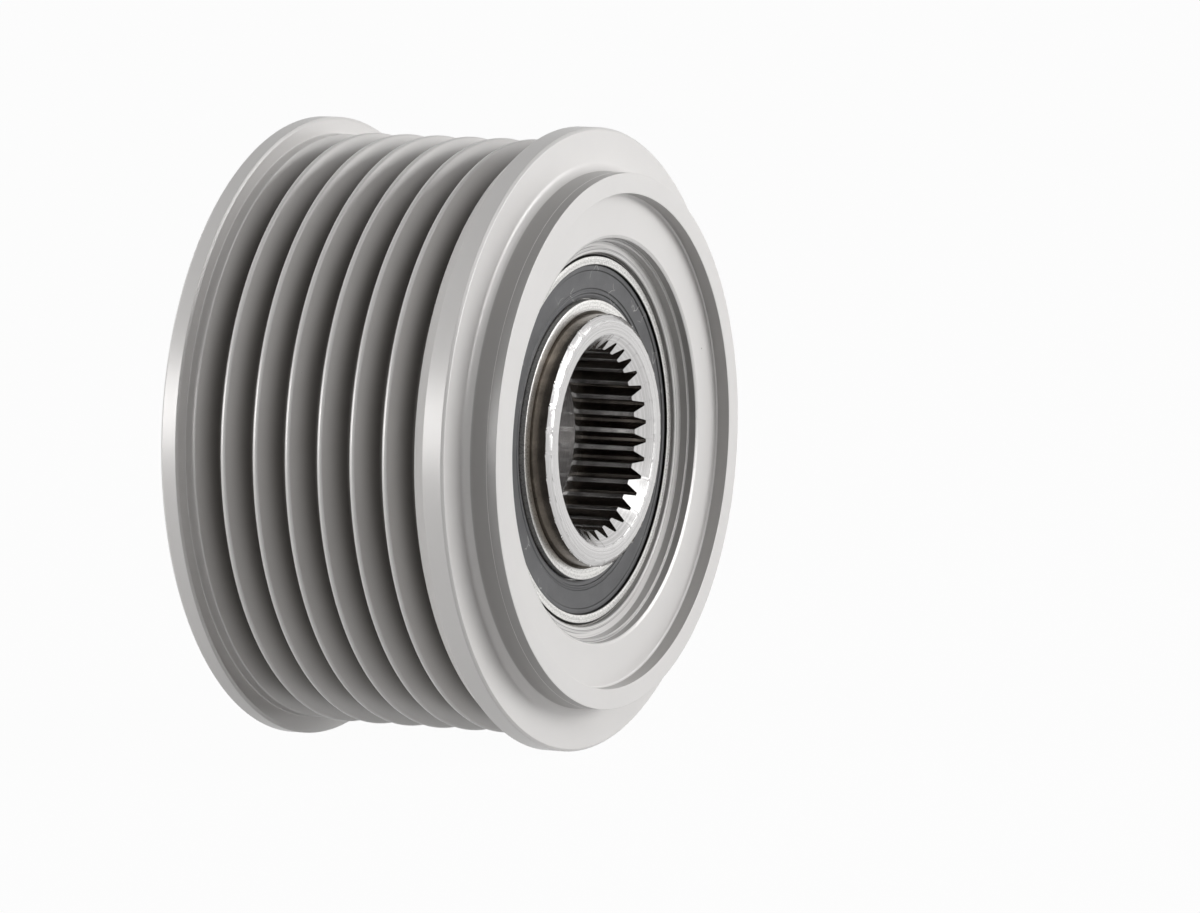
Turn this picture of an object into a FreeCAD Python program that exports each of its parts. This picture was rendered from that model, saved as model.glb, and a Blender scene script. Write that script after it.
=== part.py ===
"""Overrunning alternator pulley: seven-groove belt rim on two ball bearings and a roller clutch.

Frame: millimetres, axis along +Z, origin at the centre of the rear face, front opening up.
Seen from the front, the pulley drives the hub clockwise, and the hub can run ahead of it.
"""
import FreeCAD
import Part
import math
import os

Vector = FreeCAD.Vector
ORIGIN = Vector(0, 0, 0)
AXIS = Vector(0, 0, 1)

# Hub bore, from the thread outwards
THREAD_BORE_RADIUS = 7.19
PILOT_STEP = 1.31
RELIEF_STEP = 1.11
TOOTH_CREST_STEP = 0.75
TOOTH_HEIGHT = 0.85
SOCKET_MOUTH_STEP = 0.6
HUB_WALL = 2.0

# Hub, along the axis
HUB_NOSE_HEIGHT = 2.03
HUB_NOSE_BEVEL = 0.37
HUB_NOSE_BEVEL_RUN = 0.59
HUB_REAR_RECESS = 0.5
HUB_REAR_CHAMFER = 0.5
SOCKET_DEPTH = 7.75
RELIEF_LENGTH = 4.0
PILOT_LENGTH = 5.0
BORE_CHAMFER = 0.5

# Teeth of the drive socket
TOOTH_COUNT = 33
TOOTH_CREST_LAND = 0.45
TOOTH_ROOT_LAND = 0.35

# Bearings, thin section, both alike
BEARING_SECTION = 6.0
BEARING_WIDTH = 7.0
BEARING_CHAMFER = 0.3
BEARING_PROUD = 0.05
BALL_WIDTH_SHARE = 0.25
BALL_COUNT = 13
BALL_SIDES = 10
BALL_BANDS = 6
RACE_GAP = 0.07
OUTER_SHOULDER_SHARE = 0.8
INNER_SHOULDER_SHARE = 0.743
OUTER_SEAL_STEP = 0.4
INNER_SEAL_STEP = 0.32

# Ball cage, a crown with its claws towards the seal
CAGE_WALL = 1.4
CAGE_FLOOR = 0.45
CAGE_CLAW = 1.0
POCKET_GAP = 0.1

# Lip seal of each bearing
SEAL_SINK = 0.22
SEAL_RIM_WIDTH = 0.5
SEAL_RIM_STEP = 0.12
SEAL_THICKNESS = 0.8
SEAL_NOTCH_ROOM = 0.08
SEAL_LIP_WIDTH = 0.75
SEAL_LIP_DROP = 0.25
SEAL_LIP_GAP = 0.12

# Seats of the bearings in the pulley
SEAT_CHAMFER = 0.13
REAR_LIP_DEPTH = 0.9
REAR_LIP_WIDTH = 3.0
REAR_LIP_CHAMFER = 0.5

# Belt grooves
RIM_WALL = 7.65
RIB_PITCH = 3.56
GROOVE_COUNT = 7
GROOVE_ANGLE = 40.0
GROOVE_FLOOR_WIDTH = 0.698
RIB_TIP_LAND = 0.46

# Rear rim
REAR_RIM_RISE = 1.45
REAR_RIM_WIDTH = 1.9
REAR_LAND_DROP = 0.25
REAR_LAND_WIDTH = 1.06
RIM_EDGE = 0.3

# Front flange, in front of the last groove
FLANGE_RISE = 1.45
FLANGE_BEVEL_WIDTH = 1.2
FLANGE_RIM_WIDTH = 2.2
FLANGE_EDGE = 0.25

# Well above the front bearing, seat of the dust cap and raised front ring round them
WELL_MARGIN = 1.55
WELL_EDGE = 0.3
WELL_DEPTH = 0.9
LEDGE_STEP = 0.37
LEDGE_HEIGHT = 0.8
CAP_SHELF_WIDTH = 4.45
CAP_SEAT_DEPTH = 1.44
NOSE_WALL = 2.06
NOSE_HEIGHT = 3.5
NOSE_ROOT_FILLET = 1.0

# Roller clutch between the bearings
ROLLER_RADIUS = 1.5
ROLLER_COUNT = 8
RUN_GAP = 0.05
ROLLER_END = 2.0
RAMP_ANGLE = 4.0
RAMP_BITE = 0.4
RAMP_WEDGE_ROOM = 0.5
RAMP_SPRING_ROOM = 0.28
CLUTCH_CAGE_GAP = 0.25
WINDOW_GAP = 0.12
SPRING_SPACE = 1.5
SPRING_THICKNESS = 0.18
SPRING_LENGTH_SHARE = 0.49
SPRING_SPAN = 1.6
SPRING_FOLDS = 3

# Radii worked out from the sizes, from the axis outwards
PILOT_RADIUS = THREAD_BORE_RADIUS + PILOT_STEP
RELIEF_RADIUS = THREAD_BORE_RADIUS + RELIEF_STEP
TOOTH_CREST_RADIUS = RELIEF_RADIUS + TOOTH_CREST_STEP
TOOTH_ROOT_RADIUS = TOOTH_CREST_RADIUS + TOOTH_HEIGHT
SOCKET_MOUTH_RADIUS = TOOTH_ROOT_RADIUS + SOCKET_MOUTH_STEP
HUB_RADIUS = SOCKET_MOUTH_RADIUS + HUB_WALL
BEARING_OUTER_RADIUS = HUB_RADIUS + BEARING_SECTION
BALL_RADIUS = BALL_WIDTH_SHARE * BEARING_WIDTH
BALL_CIRCLE_RADIUS = (HUB_RADIUS + BEARING_OUTER_RADIUS) / 2
RACE_RADIUS = BALL_RADIUS + RACE_GAP
OUTER_SHOULDER_RADIUS = BALL_CIRCLE_RADIUS + OUTER_SHOULDER_SHARE * BALL_RADIUS
INNER_SHOULDER_RADIUS = BALL_CIRCLE_RADIUS - INNER_SHOULDER_SHARE * BALL_RADIUS
OUTER_SEAL_RADIUS = OUTER_SHOULDER_RADIUS + OUTER_SEAL_STEP
INNER_SEAL_RADIUS = INNER_SHOULDER_RADIUS - INNER_SEAL_STEP
REAR_LIP_RADIUS = BEARING_OUTER_RADIUS - REAR_LIP_DEPTH
WELL_RADIUS = BEARING_OUTER_RADIUS + WELL_MARGIN
LEDGE_RADIUS = WELL_RADIUS - LEDGE_STEP
CAP_SEAT_RADIUS = WELL_RADIUS + CAP_SHELF_WIDTH
NOSE_RADIUS = CAP_SEAT_RADIUS + NOSE_WALL
GROOVE_FLOOR_RADIUS = BEARING_OUTER_RADIUS + RIM_WALL
GROOVE_MOUTH_WIDTH = RIB_PITCH - RIB_TIP_LAND
FLANK_SLOPE = math.tan(math.radians(GROOVE_ANGLE / 2))
RIB_TIP_RADIUS = GROOVE_FLOOR_RADIUS + (GROOVE_MOUTH_WIDTH - GROOVE_FLOOR_WIDTH) / 2 / FLANK_SLOPE
REAR_LAND_RADIUS = RIB_TIP_RADIUS - REAR_LAND_DROP
REAR_RIM_RADIUS = RIB_TIP_RADIUS + REAR_RIM_RISE
FLANGE_RADIUS = RIB_TIP_RADIUS + FLANGE_RISE
ROLLER_CIRCLE_RADIUS = HUB_RADIUS + RUN_GAP + ROLLER_RADIUS
RAMP_RADIUS = ROLLER_CIRCLE_RADIUS + ROLLER_RADIUS + RUN_GAP
SLEEVE_LAND_RADIUS = RAMP_RADIUS - RAMP_BITE

# Places worked out from the sizes, along the axis from the rear face
REAR_MOUTH_HALF = GROOVE_MOUTH_WIDTH / 2 - REAR_LAND_DROP * FLANK_SLOPE
FIRST_GROOVE_Z = REAR_RIM_WIDTH + REAR_LAND_WIDTH + REAR_MOUTH_HALF
LAST_GROOVE_Z = FIRST_GROOVE_Z + (GROOVE_COUNT - 1) * RIB_PITCH
BEVEL_START_Z = LAST_GROOVE_Z + (RIB_PITCH + RIB_TIP_LAND) / 2
FLANGE_START_Z = BEVEL_START_Z + FLANGE_BEVEL_WIDTH
FLANGE_FACE_Z = FLANGE_START_Z + FLANGE_RIM_WIDTH
NOSE_Z = FLANGE_FACE_Z + NOSE_HEIGHT
CAP_SEAT_Z = NOSE_Z - CAP_SEAT_DEPTH
WELL_STEP_Z = CAP_SEAT_Z - WELL_DEPTH
LEDGE_Z = WELL_STEP_Z - LEDGE_HEIGHT

FRONT_BEARING_FACE_Z = FLANGE_FACE_Z + BEARING_PROUD
FRONT_BEARING_Z = FRONT_BEARING_FACE_Z - BEARING_WIDTH / 2
REAR_BEARING_Z = REAR_LIP_WIDTH + BEARING_WIDTH / 2
SLEEVE_START_Z = REAR_LIP_WIDTH + BEARING_WIDTH
SLEEVE_END_Z = FRONT_BEARING_FACE_Z - BEARING_WIDTH
ROLLER_START_Z = SLEEVE_START_Z + ROLLER_END
ROLLER_LENGTH = SLEEVE_END_Z - ROLLER_END - ROLLER_START_Z

HUB_START_Z = HUB_REAR_RECESS
HUB_NOSE_Z = FLANGE_FACE_Z + HUB_NOSE_HEIGHT
SOCKET_END_Z = HUB_NOSE_Z - SOCKET_DEPTH
THREAD_END_Z = SOCKET_END_Z - RELIEF_LENGTH
PILOT_END_Z = HUB_START_Z + PILOT_LENGTH


def lathe(outline):
    """Turned solid; a point with a third item is reached by an arc through that item."""
    edges = []
    for start, end in zip(outline, outline[1:] + outline[:1]):
        first = Vector(start[0], 0, start[1])
        last = Vector(end[0], 0, end[1])
        if len(end) == 3:
            middle = Vector(end[2][0], 0, end[2][1])
            edges.append(Part.Arc(first, middle, last).toShape())
        else:
            edges.append(Part.LineSegment(first, last).toShape())
    return Part.Face(Part.Wire(edges)).revolve(ORIGIN, AXIS, 360)


def prism(corners, base_z, height):
    """Straight solid on a closed outline of (x, y) corners."""
    points = [Vector(x, y, base_z) for x, y in corners]
    face = Part.Face(Part.makePolygon(points + points[:1]))
    return face.extrude(Vector(0, 0, height))


def tube(inner_radius, outer_radius, base_z, height):
    """Plain ring."""
    outer = Part.makeCylinder(outer_radius, height, Vector(0, 0, base_z))
    return outer.cut(Part.makeCylinder(inner_radius, height, Vector(0, 0, base_z)))


def turned(shape, index, count):
    """Copy of a shape at its place in a ring of equal pieces."""
    copy = shape.copy()
    copy.rotate(ORIGIN, AXIS, 360.0 * index / count)
    return copy


def belt_outline():
    """Grooves from rear to front, each as two flanks and a floor."""
    points = []
    for index in range(GROOVE_COUNT):
        middle = FIRST_GROOVE_Z + index * RIB_PITCH
        if index == 0:
            points.append((REAR_LAND_RADIUS, middle - REAR_MOUTH_HALF))
        else:
            points.append((RIB_TIP_RADIUS, middle - GROOVE_MOUTH_WIDTH / 2))
        points.append((GROOVE_FLOOR_RADIUS, middle - GROOVE_FLOOR_WIDTH / 2))
        points.append((GROOVE_FLOOR_RADIUS, middle + GROOVE_FLOOR_WIDTH / 2))
        points.append((RIB_TIP_RADIUS, middle + GROOVE_MOUTH_WIDTH / 2))
    return points


def front_outline():
    """Bevel, flange, raised ring, cap seat and bearing ledge, from the last groove inwards."""
    fillet = NOSE_ROOT_FILLET
    fillet_middle = fillet * (1 - math.sqrt(0.5))
    return [
        (RIB_TIP_RADIUS, BEVEL_START_Z),
        (FLANGE_RADIUS, FLANGE_START_Z),
        (FLANGE_RADIUS, FLANGE_FACE_Z - FLANGE_EDGE),
        (FLANGE_RADIUS - FLANGE_EDGE, FLANGE_FACE_Z),
        (NOSE_RADIUS + fillet, FLANGE_FACE_Z),
        (NOSE_RADIUS, FLANGE_FACE_Z + fillet,
         (NOSE_RADIUS + fillet_middle, FLANGE_FACE_Z + fillet_middle)),
        (NOSE_RADIUS, NOSE_Z),
        (CAP_SEAT_RADIUS, NOSE_Z),
        (CAP_SEAT_RADIUS, CAP_SEAT_Z),
        (WELL_RADIUS + WELL_EDGE, CAP_SEAT_Z),
        (WELL_RADIUS, CAP_SEAT_Z - WELL_EDGE / 2),
        (WELL_RADIUS, WELL_STEP_Z),
        (LEDGE_RADIUS, WELL_STEP_Z),
        (LEDGE_RADIUS, LEDGE_Z),
        (BEARING_OUTER_RADIUS + SEAT_CHAMFER, LEDGE_Z),
        (BEARING_OUTER_RADIUS, LEDGE_Z - SEAT_CHAMFER),
    ]


def pulley_body():
    """Turned rim with belt grooves outside and one through bore for bearings and clutch."""
    rear = [
        (BEARING_OUTER_RADIUS, REAR_LIP_WIDTH),
        (REAR_LIP_RADIUS, REAR_LIP_WIDTH),
        (REAR_LIP_RADIUS, REAR_LIP_CHAMFER),
        (REAR_LIP_RADIUS + REAR_LIP_CHAMFER, 0),
        (REAR_RIM_RADIUS - RIM_EDGE, 0),
        (REAR_RIM_RADIUS, RIM_EDGE),
        (REAR_RIM_RADIUS, REAR_RIM_WIDTH - RIM_EDGE / 2),
        (REAR_RIM_RADIUS - RIM_EDGE, REAR_RIM_WIDTH),
        (REAR_LAND_RADIUS, REAR_RIM_WIDTH),
    ]
    return lathe(rear + belt_outline() + front_outline())


def socket_star():
    """Outline of the serrated drive socket: narrow crests and roots joined by straight flanks."""
    step = 2 * math.pi / TOOTH_COUNT
    crest = math.asin(TOOTH_CREST_LAND / 2 / TOOTH_CREST_RADIUS)
    root = math.asin(TOOTH_ROOT_LAND / 2 / TOOTH_ROOT_RADIUS)
    corners = []
    for index in range(TOOTH_COUNT):
        groove = index * step
        for radius, angle in (
            (TOOTH_ROOT_RADIUS, groove - root),
            (TOOTH_ROOT_RADIUS, groove + root),
            (TOOTH_CREST_RADIUS, groove + step / 2 - crest),
            (TOOTH_CREST_RADIUS, groove + step / 2 + crest),
        ):
            corners.append((radius * math.cos(angle), radius * math.sin(angle)))
    return corners


def splined_hub():
    """Hub on the shaft: serrated drive socket in the nose, thread bore and rear pilot."""
    flare_depth = SOCKET_MOUTH_RADIUS - RELIEF_RADIUS
    body = lathe([
        (PILOT_RADIUS + BORE_CHAMFER, HUB_START_Z),
        (HUB_RADIUS - HUB_REAR_CHAMFER, HUB_START_Z),
        (HUB_RADIUS, HUB_START_Z + HUB_REAR_CHAMFER),
        (HUB_RADIUS, HUB_NOSE_Z - HUB_NOSE_BEVEL),
        (HUB_RADIUS - HUB_NOSE_BEVEL_RUN, HUB_NOSE_Z),
        (SOCKET_MOUTH_RADIUS, HUB_NOSE_Z),
        (RELIEF_RADIUS, HUB_NOSE_Z - flare_depth),
        (RELIEF_RADIUS, THREAD_END_Z + RELIEF_RADIUS - THREAD_BORE_RADIUS),
        (THREAD_BORE_RADIUS, THREAD_END_Z),
        (THREAD_BORE_RADIUS, PILOT_END_Z + BORE_CHAMFER),
        (THREAD_BORE_RADIUS + BORE_CHAMFER, PILOT_END_Z),
        (PILOT_RADIUS, PILOT_END_Z),
        (PILOT_RADIUS, HUB_START_Z + BORE_CHAMFER),
    ])
    return body.cut(prism(socket_star(), SOCKET_END_Z, SOCKET_DEPTH))


def race_half_width(shoulder_radius):
    """Half the width of the ball track where it meets a shoulder."""
    drop = shoulder_radius - BALL_CIRCLE_RADIUS
    return math.sqrt(RACE_RADIUS ** 2 - drop ** 2)


def outer_ring():
    """Bearing outer ring about the origin, seal notch towards +Z."""
    half = BEARING_WIDTH / 2
    notch = half - SEAL_SINK - SEAL_THICKNESS - SEAL_NOTCH_ROOM
    track = race_half_width(OUTER_SHOULDER_RADIUS)
    return lathe([
        (OUTER_SHOULDER_RADIUS, -half),
        (BEARING_OUTER_RADIUS - BEARING_CHAMFER, -half),
        (BEARING_OUTER_RADIUS, BEARING_CHAMFER - half),
        (BEARING_OUTER_RADIUS, half - BEARING_CHAMFER),
        (BEARING_OUTER_RADIUS - BEARING_CHAMFER, half),
        (OUTER_SEAL_RADIUS, half),
        (OUTER_SEAL_RADIUS, notch),
        (OUTER_SHOULDER_RADIUS, notch),
        (OUTER_SHOULDER_RADIUS, track),
        (OUTER_SHOULDER_RADIUS, -track, (BALL_CIRCLE_RADIUS + RACE_RADIUS, 0)),
    ])


def inner_ring():
    """Bearing inner ring about the origin, seal notch towards +Z."""
    half = BEARING_WIDTH / 2
    notch = half - SEAL_SINK - SEAL_THICKNESS - SEAL_NOTCH_ROOM
    track = race_half_width(INNER_SHOULDER_RADIUS)
    return lathe([
        (INNER_SHOULDER_RADIUS, -half),
        (INNER_SHOULDER_RADIUS, -track),
        (INNER_SHOULDER_RADIUS, track, (BALL_CIRCLE_RADIUS - RACE_RADIUS, 0)),
        (INNER_SHOULDER_RADIUS, notch),
        (INNER_SEAL_RADIUS, notch),
        (INNER_SEAL_RADIUS, half),
        (HUB_RADIUS + BEARING_CHAMFER, half),
        (HUB_RADIUS, half - BEARING_CHAMFER),
        (HUB_RADIUS, BEARING_CHAMFER - half),
        (HUB_RADIUS + BEARING_CHAMFER, -half),
    ])


def seal():
    """Rubber seal about the origin: rim in the outer ring's notch, stepped lip at the inner ring."""
    face = BEARING_WIDTH / 2 - SEAL_SINK
    back = face - SEAL_THICKNESS
    lip_radius = INNER_SEAL_RADIUS + SEAL_LIP_GAP
    return lathe([
        (OUTER_SEAL_RADIUS, back),
        (OUTER_SEAL_RADIUS, face),
        (OUTER_SEAL_RADIUS - SEAL_RIM_WIDTH, face),
        (OUTER_SEAL_RADIUS - SEAL_RIM_WIDTH, face - SEAL_RIM_STEP),
        (lip_radius + SEAL_LIP_WIDTH, face - SEAL_RIM_STEP),
        (lip_radius, face - SEAL_RIM_STEP - SEAL_LIP_DROP),
        (lip_radius, back),
    ])


def ball_cage():
    """Crown cage about the origin: a ring with one open round pocket for each ball."""
    pocket_radius = BALL_RADIUS + POCKET_GAP
    back = pocket_radius + CAGE_FLOOR
    ring = tube(BALL_CIRCLE_RADIUS - CAGE_WALL / 2, BALL_CIRCLE_RADIUS + CAGE_WALL / 2,
                -back, back + CAGE_CLAW)
    pocket = Part.makeCylinder(pocket_radius, 2 * CAGE_WALL,
                               Vector(BALL_CIRCLE_RADIUS - CAGE_WALL, 0, 0), Vector(1, 0, 0))
    return ring.cut(Part.makeCompound([turned(pocket, k, BALL_COUNT) for k in range(BALL_COUNT)]))


def ball_corner(side, band):
    """Corner of a faceted ball on +X, counted round it and from its lowest point up."""
    turn = 2 * math.pi * side / BALL_SIDES
    rise = math.pi * band / BALL_BANDS
    reach = BALL_RADIUS * math.sin(rise)
    return Vector(BALL_CIRCLE_RADIUS + reach * math.cos(turn), reach * math.sin(turn),
                  -BALL_RADIUS * math.cos(rise))


def ball():
    """Bearing ball on +X: small flats between corners on its sphere, as there are many hidden balls."""
    faces = []
    for side in range(BALL_SIDES):
        for band in range(BALL_BANDS):
            corners = [ball_corner(side, band), ball_corner(side + 1, band),
                       ball_corner(side + 1, band + 1), ball_corner(side, band + 1)]
            if band == 0:
                corners.pop(1)
            if band == BALL_BANDS - 1:
                corners.pop(2)
            faces.append(Part.Face(Part.makePolygon(corners + corners[:1])))
    return Part.makeSolid(Part.makeShell(faces))


def placed(shape, z, front):
    """Copy of a bearing piece at its height; in the rear bearing the seal side faces down."""
    copy = shape.copy()
    if not front:
        copy.rotate(ORIGIN, Vector(1, 0, 0), 180)
    copy.translate(Vector(0, 0, z))
    return copy


def bearing(name, z, front):
    """All pieces of one bearing, by node name."""
    pieces = {
        f"{name}_outer_ring": outer_ring(),
        f"{name}_inner_ring": inner_ring(),
        f"{name}_seal": seal(),
        f"{name}_ball_cage": ball_cage(),
    }
    for index in range(BALL_COUNT):
        pieces[f"{name}_ball_{index + 1:02d}"] = turned(ball(), index, BALL_COUNT)
    return {node: placed(shape, z, front) for node, shape in pieces.items()}


def clutch_sleeve():
    """Clutch outer ring pressed in the bore, with one sloping ramp for each roller."""
    length = SLEEVE_END_Z - SLEEVE_START_Z
    ring = tube(SLEEVE_LAND_RADIUS, BEARING_OUTER_RADIUS, SLEEVE_START_Z, length)
    slope = math.tan(math.radians(RAMP_ANGLE))
    wedge_side = ROLLER_RADIUS + RAMP_WEDGE_ROOM
    spring_side = ROLLER_RADIUS + WINDOW_GAP + SPRING_SPACE + RAMP_SPRING_ROOM
    ramp = prism([
        (ROLLER_CIRCLE_RADIUS, wedge_side),
        (RAMP_RADIUS - wedge_side * slope, wedge_side),
        (RAMP_RADIUS + spring_side * slope, -spring_side),
        (ROLLER_CIRCLE_RADIUS, -spring_side),
    ], SLEEVE_START_Z, length)
    return ring.cut(Part.makeCompound([turned(ramp, k, ROLLER_COUNT) for k in range(ROLLER_COUNT)]))


def clutch_cage():
    """Clutch cage: a ring with one window for each roller and its spring."""
    inner = HUB_RADIUS + CLUTCH_CAGE_GAP
    outer = SLEEVE_LAND_RADIUS - CLUTCH_CAGE_GAP
    ring = tube(inner, outer, SLEEVE_START_Z + CLUTCH_CAGE_GAP,
                SLEEVE_END_Z - SLEEVE_START_Z - 2 * CLUTCH_CAGE_GAP)
    window = Part.makeBox(
        2 * (outer - inner), 2 * (ROLLER_RADIUS + WINDOW_GAP) + SPRING_SPACE,
        ROLLER_LENGTH + 2 * WINDOW_GAP,
        Vector(2 * inner - outer, -ROLLER_RADIUS - WINDOW_GAP - SPRING_SPACE,
               ROLLER_START_Z - WINDOW_GAP))
    return ring.cut(Part.makeCompound([turned(window, k, ROLLER_COUNT) for k in range(ROLLER_COUNT)]))


def clutch_roller():
    """Clutch roller at its place on +X."""
    return Part.makeCylinder(ROLLER_RADIUS, ROLLER_LENGTH,
                             Vector(ROLLER_CIRCLE_RADIUS, 0, ROLLER_START_Z))


def clutch_spring():
    """Folded leaf spring that holds its roller against the ramp, one straight leg after another."""
    fold = (SPRING_SPACE - SPRING_THICKNESS) / SPRING_FOLDS
    length = SPRING_LENGTH_SHARE * ROLLER_LENGTH
    base_z = ROLLER_START_Z + (ROLLER_LENGTH - length) / 2
    legs = []
    for index in range(SPRING_FOLDS):
        side = SPRING_SPAN / 2 if index % 2 else -SPRING_SPAN / 2
        near = -ROLLER_RADIUS - WINDOW_GAP - index * fold
        legs.append(prism([
            (ROLLER_CIRCLE_RADIUS + side, near),
            (ROLLER_CIRCLE_RADIUS - side, near - fold),
            (ROLLER_CIRCLE_RADIUS - side, near - fold - SPRING_THICKNESS),
            (ROLLER_CIRCLE_RADIUS + side, near - SPRING_THICKNESS),
        ], base_z, length))
    return legs[0].fuse(legs[1:]).removeSplitter()


def clutch():
    """All pieces of the clutch, by node name."""
    pieces = {"clutch_sleeve": clutch_sleeve(), "clutch_cage": clutch_cage()}
    for index in range(ROLLER_COUNT):
        pieces[f"clutch_roller_{index + 1}"] = turned(clutch_roller(), index, ROLLER_COUNT)
        pieces[f"clutch_spring_{index + 1}"] = turned(clutch_spring(), index, ROLLER_COUNT)
    return pieces


def main():
    """Build every piece and write one file for each."""
    os.makedirs("parts", exist_ok=True)
    pieces = {"pulley_body": pulley_body(), "splined_hub": splined_hub()}
    pieces.update(bearing("front", FRONT_BEARING_Z, True))
    pieces.update(bearing("rear", REAR_BEARING_Z, False))
    pieces.update(clutch())
    for node, shape in pieces.items():
        shape.exportStep(f"parts/{node}.step")


main()
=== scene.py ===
"""Looks of an overrunning alternator pulley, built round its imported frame.

Metres, axis along +Z, rear face at Z 0, as in the frame. Each operator makes one piece, or one
group of like pieces, of the pulley; the last one makes the studio round it.
"""

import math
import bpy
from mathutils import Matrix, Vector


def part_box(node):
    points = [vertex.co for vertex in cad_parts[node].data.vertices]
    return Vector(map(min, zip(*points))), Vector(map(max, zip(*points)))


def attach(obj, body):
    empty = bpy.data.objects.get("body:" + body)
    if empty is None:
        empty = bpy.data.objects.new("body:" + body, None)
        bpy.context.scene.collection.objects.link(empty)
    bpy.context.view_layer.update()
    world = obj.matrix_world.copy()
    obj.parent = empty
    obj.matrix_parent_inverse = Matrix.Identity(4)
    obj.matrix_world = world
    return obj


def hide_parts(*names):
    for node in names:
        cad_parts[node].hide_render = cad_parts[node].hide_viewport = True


bl_info = {
    "name": "Overrunning Alternator Pulley",
    "version": (1, 0, 0),
    "blender": (4, 5, 0),
    "location": "3D View > Sidebar > Pulley",
    "description": "Rim, toothed hub and sealed bearings of a freewheel pulley, in a plain studio",
    "category": "Object",
}

import bmesh
import bpy
from bpy.props import FloatProperty, FloatVectorProperty, IntProperty, PointerProperty
from mathutils import Matrix, Vector

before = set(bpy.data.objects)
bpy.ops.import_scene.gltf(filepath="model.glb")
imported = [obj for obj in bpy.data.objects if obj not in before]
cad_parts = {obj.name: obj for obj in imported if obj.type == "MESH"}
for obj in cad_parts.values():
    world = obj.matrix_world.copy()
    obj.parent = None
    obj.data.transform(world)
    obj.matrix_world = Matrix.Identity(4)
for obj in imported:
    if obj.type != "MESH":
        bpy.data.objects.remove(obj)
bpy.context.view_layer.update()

MM = 0.001
ORIGIN = (0.0, 0.0, 0.0)
AXIS = (0.0, 0.0, 1.0)
SHARP_ANGLE = math.radians(32)

BODY_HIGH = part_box("pulley_body")[1]
HUB_LOW, HUB_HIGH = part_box("splined_hub")
FRONT_RING_LOW, FRONT_RING_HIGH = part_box("front_outer_ring")
REAR_RING_LOW, REAR_RING_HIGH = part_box("rear_outer_ring")
BEARINGS = (  # side, and height of the bearing's middle
    ("front", (FRONT_RING_LOW.z + FRONT_RING_HIGH.z) / 2),
    ("rear", (REAR_RING_LOW.z + REAR_RING_HIGH.z) / 2),
)


# Sizes and colours

class PulleyBodySizes(bpy.types.PropertyGroup):
    """Sizes of the turned pulley body."""
    rim_radius: FloatProperty(
        name="Rim radius", description="Radius of the rear rim and the front flange",
        default=BODY_HIGH.x, unit="LENGTH", precision=5)
    tip_radius: FloatProperty(
        name="Rib tip radius", description="Radius over the tips of the belt ribs",
        default=29.45 * MM, unit="LENGTH", precision=5)
    floor_radius: FloatProperty(
        name="Groove floor radius", description="Radius at the floor of the belt grooves",
        default=26.15 * MM, unit="LENGTH", precision=5)
    rib_pitch: FloatProperty(
        name="Rib pitch", description="Distance from one belt groove to the next",
        default=3.56 * MM, unit="LENGTH", precision=5)
    rib_land: FloatProperty(
        name="Rib tip width", description="Width of a rib's tip before it is rounded",
        default=0.46 * MM, unit="LENGTH", precision=5)
    floor_width: FloatProperty(
        name="Groove floor width", description="Width of a groove's floor before it is rounded",
        default=0.698 * MM, unit="LENGTH", precision=5)
    well_radius: FloatProperty(
        name="Well radius", description="Radius of the bearing well inside the cap seat",
        default=20.05 * MM, unit="LENGTH", precision=5)
    first_groove: FloatProperty(
        name="First groove", description="Height of the middle of the rearmost groove",
        default=4.419 * MM, unit="LENGTH", precision=5)
    groove_count: IntProperty(
        name="Grooves", description="Number of belt grooves", default=7, min=1)
    tip_rounding: FloatProperty(
        name="Rib tip rounding", description="Radius of the rounded corners of a rib's tip",
        default=0.28 * MM, unit="LENGTH", precision=5)
    floor_rounding: FloatProperty(
        name="Groove floor rounding",
        description="Radius of the rounded corners of a groove's floor",
        default=0.42 * MM, unit="LENGTH", precision=5)
    flange_face: FloatProperty(
        name="Flange face", description="Height of the front flange's face",
        default=31.189 * MM, unit="LENGTH", precision=5)
    steps: IntProperty(
        name="Steps", description="Steps of the turned surface round the axis",
        default=240, min=48)


class HubSizes(bpy.types.PropertyGroup):
    """Sizes of the hub and its serrated socket."""
    radius: FloatProperty(
        name="Hub radius", description="Outer radius of the hub",
        default=HUB_HIGH.x, unit="LENGTH", precision=5)
    teeth: IntProperty(
        name="Teeth", description="Number of grooves round the drive socket", default=33, min=6)
    crest_radius: FloatProperty(
        name="Crest radius", description="Radius inside the socket's tooth crests",
        default=9.05 * MM, unit="LENGTH", precision=5)
    root_radius: FloatProperty(
        name="Root radius", description="Radius of the socket's groove roots",
        default=9.9 * MM, unit="LENGTH", precision=5)
    mouth_radius: FloatProperty(
        name="Mouth radius", description="Radius of the socket's flare at the nose",
        default=10.5 * MM, unit="LENGTH", precision=5)
    socket_end: FloatProperty(
        name="Socket end", description="Height at which the serration ends",
        default=25.469 * MM, unit="LENGTH", precision=5)
    relief_radius: FloatProperty(
        name="Relief radius", description="Radius of the smooth bore behind the serration",
        default=8.3 * MM, unit="LENGTH", precision=5)
    thread_radius: FloatProperty(
        name="Thread crest radius", description="Inner radius of the shaft thread",
        default=7.19 * MM, unit="LENGTH", precision=5)
    thread_pitch: FloatProperty(
        name="Thread pitch", description="Distance from one thread turn to the next",
        default=1.5 * MM, unit="LENGTH", precision=5)
    pilot_radius: FloatProperty(
        name="Pilot radius", description="Radius of the plain shaft seat at the rear",
        default=8.5 * MM, unit="LENGTH", precision=5)


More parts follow.
